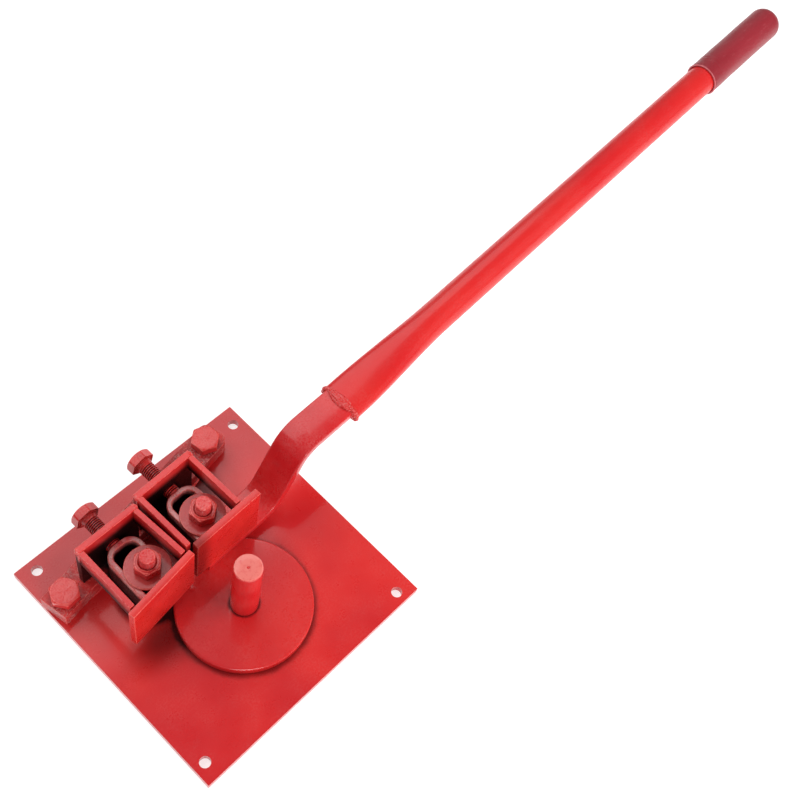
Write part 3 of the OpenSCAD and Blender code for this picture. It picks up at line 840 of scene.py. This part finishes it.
grip_lo, grip_hi = (box_in("handle_grip", TUBE)[i] for i in (0, 1))
grip_r, grip_long = (grip_hi.y - grip_lo.y) / 2, grip_hi.z - grip_lo.z
ROUNDING, LIP = 11 * MM, 1.6 * MM
CREASES = ((8.5, 0.35), (14.5, 0.9), (19.5, 0.75))


def grip_ring(t, radius, count=ROUND):
    """Ring of the sleeve at t from its mouth, with slow lumps and partial creases."""
    ring = []
    for j in range(count):
        a = math.tau * j / count
        lump = noise.noise(Vector((math.cos(a) * 0.9, math.sin(a) * 0.9, t / (26 * MM))))
        r = radius * (1 - 0.018 * (1 + lump))
        for at, where in CREASES:
            around = max(0.0, math.cos(a - math.pi * where)) ** 3
            r += 0.55 * MM * around * math.exp(-((t / MM - at) / 0.8) ** 2)
        ring.append((min(r, grip_r) * math.cos(a), min(r, grip_r) * math.sin(a), grip_lo.z + t))
    return ring


rings = [circle(tube_r + 0.1 * MM, grip_lo.z + 20 * MM, ROUND),
         circle(tube_r + 0.1 * MM, grip_lo.z + 0.8 * MM, ROUND),
         circle(tube_r + 0.9 * MM, grip_lo.z, ROUND)]
for i in range(7):
    a = math.pi * i / 6
    rings.append(grip_ring(LIP * (1 - math.cos(a)) / 2, grip_r - 0.9 * MM * (1 - math.sin(a) ** 2)))
body_end = grip_long - ROUNDING
rings += [grip_ring(3 * MM + (body_end - 3 * MM) * i / 110, grip_r - 0.5 * MM)
          for i in range(111)]
for i in range(1, 15):
    a = math.pi / 2 * i / 15
    rings.append(grip_ring(body_end + ROUNDING * math.sin(a),
                           (grip_r - 0.5 * MM) - ROUNDING * (1 - math.cos(a))))
rings.append(grip_ring(grip_long, (grip_r - ROUNDING) * 0.55))
skinned("handle_grip_finished", rings, TUBE, vinyl("dipped_vinyl"), "lever",
        ["handle_grip"], marks=[0, 0, 0.3, 0.5, 0.8, 0.8, 0.5, 0.2, 0, 0]
        + [0] * (len(rings) - 10), crease=60)

# %% [markdown]
# Welds hold all this together. A bead is a row of overlapping puddles: a round section
# along a line, whose radius swells with each puddle and wanders a little. Short beads
# close the corners of the frames, run along the backing bar and ring the tube's mouth.
# %% Weld beads
def bead(name, line, radius, turned, material, body, nodes=(), puddle=2.2 * MM,
         loop=False):
    """Weld bead along a list of points, in a turned frame."""
    points = [Vector(p) for p in line]
    rings, run = [], 0.0
    for i, point in enumerate(points):
        before = points[i - 1 if loop else max(0, i - 1)]
        after = points[(i + 1) % len(points) if loop else min(len(points) - 1, i + 1)]
        along = (after - before).normalized()
        run += (point - points[i - 1]).length if i else 0.0
        side = along.orthogonal() if abs(along.z) > 0.9 else along.cross(Vector((0, 0, 1)))
        side.normalize()
        over = side.cross(along)
        ripple = 0.82 + 0.18 * abs(math.cos(math.pi * run / puddle))
        end = 1.0
        if not loop:
            share = i / (len(points) - 1)
            end = math.sqrt(max(0.02, 1 - abs(2 * share - 1) ** 4))
        ring = []
        for j in range(14):
            a = math.tau * j / 14
            where = point + side * math.cos(a) * radius + over * math.sin(a) * radius
            r = radius * ripple * end * (1 + 0.22 * noise.noise(where * 420))
            ring.append(point + side * math.cos(a) * r + over * math.sin(a) * r)
        rings.append(ring)
    return skinned(name, rings, turned, material, body, nodes, loop=loop,
                   marks=[0.25] * len(rings), crease=80)


def straight(start, end, step=0.55 * MM):
    start, end = Vector(start), Vector(end)
    count = max(4, int((end - start).length / step))
    return [start.lerp(end, i / count) for i in range(count + 1)]


weld_paint = red_enamel("weld_enamel", dust=0.5, peel=0.15, rough=0.30, rim=0.5)
mouth = []
for x, y, z in tube_ring(0, 0.3 * MM, 240):
    lump = 0.5 * MM * noise.noise(Vector((x, y, 0)) * 160)
    mouth.append((x, y, z - 0.6 * MM + lump))
bead("tube_weld_finished", mouth, 1.9 * MM, TUBE, weld_paint, "lever",
     ["tube_weld"], loop=True)

# %% [markdown]
# A bigger blob sits where a bead ends. It is a ball of subdivided faces, squashed and
# pushed about by noise. The tube has one at each side of its mouth and a flat pool on
# the bar between them, and each frame has one at each rear corner.
# %% Weld blobs
def blob(name, centre, size, turned, body):
    """Lump of weld of about this half size, in a turned frame."""
    work = bmesh.new()
    bmesh.ops.create_icosphere(work, subdivisions=4, radius=1.0)
    mark = work.verts.layers.float.new("rim")
    for vertex in work.verts:
        n = noise.noise(vertex.co * 1.7 + Vector(centre) * 300)
        fine = noise.noise(vertex.co * 5.0)
        push = 1 + 0.28 * n + 0.07 * fine
        at = Vector(centre) + Vector([c * s * push for c, s in zip(vertex.co, size)])
        vertex.co = turned @ at
        vertex[mark] = max(0.0, fine)
    return shown(name, smooth_mesh(work, name), weld_paint, body)


bar_top = box_in("lever_flat", LEVER)[1].z
pool = [(weld_x - 0.5 * MM - 4.5 * MM * math.sin(math.pi * i / 60),
         axis_y + (i / 30 - 1) * flat_wide * 0.48, bar_top + 0.2 * MM) for i in range(61)]
bead("mouth_fillet", pool, 2.0 * MM, LEVER, weld_paint, "lever")
blob("mouth_pool", (weld_x - 0.5 * MM, axis_y, bar_top + 0.8 * MM),
     (5.0 * MM, 14.0 * MM, 2.6 * MM), LEVER, "lever")
half_wide = pressed(0)[1]
for side, sign, inward, up in (("rear", 1, 2.2 * MM, -3.5 * MM),
                               ("front", -1, 4.2 * MM, -1.0 * MM)):
    blob("mouth_blob_" + side, (weld_x - 0.5 * MM, axis_y + sign * (half_wide - inward),
                                axis_z + up),
         (4.0 * MM, 3.6 * MM, 4.2 * MM), LEVER, "lever")
for side, body, turned in SIDES:
    lo, hi = box_in(side + "_back_plate", turned)
    # Beads on the frames get the same painted shade below the well depth.
    seam_paint = red_enamel(side + "_seam_enamel", dust=0.3, peel=0.15, rough=0.30, rim=0.5,
                            well=(hi.z - 3 * MM, 15 * MM))
    for end, x, out in (("west", lo.x, 1), ("east", hi.x, -1)):
        bead(f"{side}_frame_bead_{end}",
             straight((x + out * 0.6 * MM, hi.y - 6.2 * MM, hi.z - 20 * MM),
                      (x + out * 0.6 * MM, hi.y - 6.2 * MM, hi.z - 1.5 * MM)),
             1.9 * MM, turned, seam_paint, body)
        blob(f"{side}_frame_blob_{end}", (x + out * 1.6 * MM, hi.y - 3.6 * MM, hi.z - 1.5 * MM),
             (2.8 * MM, 3.8 * MM, 1.6 * MM), turned, body)
lo, hi = box_in("backing_bar", BAR)
seam_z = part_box("base_plate")[1].z
for edge, y in (("front", lo.y), ("rear", hi.y)):
    bead("bar_bead_" + edge, straight((lo.x + 30 * MM, y, seam_z + 0.6 * MM),
                                      (hi.x - 40 * MM, y, seam_z + 0.6 * MM)),
         2.6 * MM, BAR, weld_paint, "base")

# %% [markdown]
# Welding throws fine drops that freeze to the steel and are painted over. Each is a tiny
# flattened ball, and they lie close together near a weld and thin out away from it. A
# seeded draw places them, so they stay the same each time the lesson is run.
# %% Weld spatter
def spatter(name, corner_a, corner_b, count, turned, body):
    """Drops on the level patch between two opposite corners."""
    work = bmesh.new()
    mark = work.verts.layers.float.new("rim")
    for _ in range(count):
        share = random.random() ** 1.6, random.random()
        at = Vector([a + (b - a) * s for a, b, s in
                     zip(corner_a, corner_b, (share[0], share[1], 0))])
        size = random.uniform(0.25, 0.75) * MM
        drop = bmesh.ops.create_icosphere(work, subdivisions=2, radius=1.0)
        for vertex in drop["verts"]:
            flat = Vector((vertex.co.x, vertex.co.y, vertex.co.z * 0.7)) * size
            vertex.co = turned @ (at + flat)
            vertex[mark] = 0.8
    return shown(name, smooth_mesh(work, name), weld_paint, body)


lo, hi = box_in("lever_flat", LEVER)
flat_top = lo.z + flat_thick
spatter("lever_spatter", (62 * MM, hi.y - 1 * MM, flat_top), (44 * MM, hi.y - 22 * MM, flat_top),
        46, LEVER, "lever")
lo, hi = box_in("backing_bar", BAR)
spatter("bar_spatter_left", (lo.x + 8 * MM, lo.y + 3 * MM, hi.z),
        (lo.x + 40 * MM, hi.y - 3 * MM, hi.z), 50, BAR, "base")
spatter("bar_spatter_right", (hi.x - 30 * MM, lo.y + 3 * MM, hi.z),
        (hi.x - 75 * MM, hi.y - 3 * MM, hi.z), 60, BAR, "base")

# %% [markdown]
# The floor is a plain pale sheet. It gives off a little light of its own, as white paper
# under strong lamps seems to, and keeps the shadows on it soft.
# %% Floor
def pale_sheet(name):
    material, s = start_material(name)
    tone = grain(s, 0.4, 2.0).ramp(0.2, 0.8).blend((0.44, 0.44, 0.44, 1), (0.48, 0.48, 0.48, 1))
    s.surface({
        "Base Color": tone, "Roughness": 0.9, "Specular IOR Level": 0.0,
        "Emission Color": (1, 1, 1, 1), "Emission Strength": 0.75})
    return material


FLOOR_HALF = 4.0
floor_mesh = bpy.data.meshes.new("floor")
floor_mesh.from_pydata([(x * FLOOR_HALF, y * FLOOR_HALF, -0.3 * MM)
                        for x, y in ((-1, -1), (1, -1), (1, 1), (-1, 1))], [], [(0, 1, 2, 3)])
floor_mesh.materials.append(pale_sheet("pale_sheet"))
floor = bpy.data.objects.new("floor", floor_mesh)
bpy.context.scene.collection.objects.link(floor)
print("floor", 2 * FLOOR_HALF, "m square")

# %% [markdown]
# Red enamel shows what it reflects. A large soft panel behind and above gives the pale
# sheen at the back of the plate and leaves the front deep red. A key light from the
# front right brightens the jaws' faces and the lever, a weaker one stands at the front
# left, and a dim grey room fills the rest.
# %% Soft studio light
def panel(name, place, aim, size, power, mirrored=True):
    """Soft box at place, facing aim. Glossy paint mirrors it unless told not to."""
    lamp = bpy.data.lights.new(name, "AREA")
    lamp.shape, lamp.size, lamp.size_y = "RECTANGLE", size[0], size[1]
    lamp.energy = power
    holder = bpy.data.objects.new(name, lamp)
    holder.location = place
    holder.visible_glossy = mirrored
    facing = (Vector(aim) - Vector(place)).to_track_quat("-Z", "Y")
    holder.rotation_euler = facing.to_euler()
    bpy.context.scene.collection.objects.link(holder)


panel("rear_panel", (0.1, 0.92, 1.15), (0.05, 0.1, 0), (2.2, 1.15), 16)
panel("key_panel", (1.0, -1.25, 1.0), (0.05, 0.02, 0.05), (1.6, 1.2), 26, mirrored=False)
panel("left_panel", (-0.9, -1.2, 0.9), (0, 0, 0.05), (0.9, 0.7), 12)
world = bpy.data.worlds.new("room")
world.use_nodes = True
world.node_tree.nodes["Background"].inputs["Color"].default_value = (0.24, 0.24, 0.245, 1)
bpy.context.scene.world = world
print(len(bpy.data.lights), "lights")
